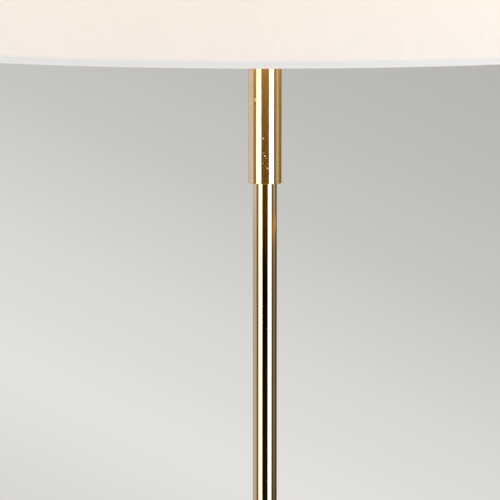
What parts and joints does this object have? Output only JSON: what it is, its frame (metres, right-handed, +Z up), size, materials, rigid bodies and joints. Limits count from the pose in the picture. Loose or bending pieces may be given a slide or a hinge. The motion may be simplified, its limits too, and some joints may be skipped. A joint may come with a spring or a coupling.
{
  "type": "table lamp",
  "caption": "Table lamp with a wide cream cloth drum shade, lit from inside, on a polished brass stem with a thicker sleeve under the shade and a flat round weighted base.",
  "frame": {"origin": "centre of the footprint on the table, under the middle of the stem", "axes": "+Z up along the stem, -Y towards the viewer of the picture, +Y towards the cord inlet, +X to the viewer's right along the push bar"},
  "size_m": [0.3999, 0.4, 0.65],
  "materials": {
    "polished_brass": "polished",
    "contact_brass": "plain",
    "plated_steel": "zinc plated",
    "white_steel": "white powder coat",
    "cast_iron": "as cast",
    "felt": "felt",
    "black_plastic": "moulded",
    "white_plastic": "moulded",
    "opal_plastic": "opal, lit",
    "ceramic": "unglazed",
    "white_lining": "smooth",
    "cream_cloth": "fine plain weave",
    "black_glass": "glassy",
    "bulb_metal": "bright"
  },
  "bodies": {
    "stand": {"base_pad": "felt", "base_weight": "cast_iron", "base_cover": "polished_brass", "cable_bush": "black_plastic", "rod_nut": "plated_steel", "lock_washer": "plated_steel", "threaded_rod": "plated_steel", "stem_tube": "polished_brass", "stem_sleeve": "polished_brass", "sleeve_bush": "black_plastic", "holder_cap": "polished_brass", "earth_screw": "plated_steel", "switch_block": "black_plastic", "holder_core": "ceramic", "terminal_blocks": "contact_brass", "terminal_screws": "plated_steel", "centre_contact": "contact_brass", "side_contact": "contact_brass", "thread_insert": "black_plastic", "holder_skirt": "polished_brass", "lower_shade_ring": "polished_brass"},
    "switch": {"switch_bar": "black_plastic"},
    "clamp_ring": {"upper_shade_ring": "polished_brass"},
    "shade": {"shade_fitter": "white_steel", "bottom_ring": "plated_steel", "top_ring": "plated_steel", "shade_lining": "white_lining", "shade_fabric": "cream_cloth"},
    "bulb": {"bulb_tip": "plated_steel", "bulb_insulator": "black_glass", "bulb_shell": "bulb_metal", "bulb_body": "white_plastic", "bulb_diffuser": "opal_plastic"}
  },
  "joints": [
    {"name": "switch_push", "type": "slide", "parent": "stand", "child": "switch", "axis": [1, 0, 0], "range_m": [0, 0.006]},
    {"name": "shade_turn", "type": "hinge", "parent": "stand", "child": "shade", "pos_m": [0, 0, 0.445], "axis": [0, 0, 1], "continuous": true},
    {"name": "clamp_ring_turn", "type": "hinge", "parent": "stand", "child": "clamp_ring", "pos_m": [0, 0, 0.449], "axis": [0, 0, 1], "range_deg": [0, 720]},
    {"name": "bulb_turn", "type": "hinge", "parent": "stand", "child": "bulb", "pos_m": [0, 0, 0.46], "axis": [0, 0, 1], "range_deg": [0, 720]}
  ]
}
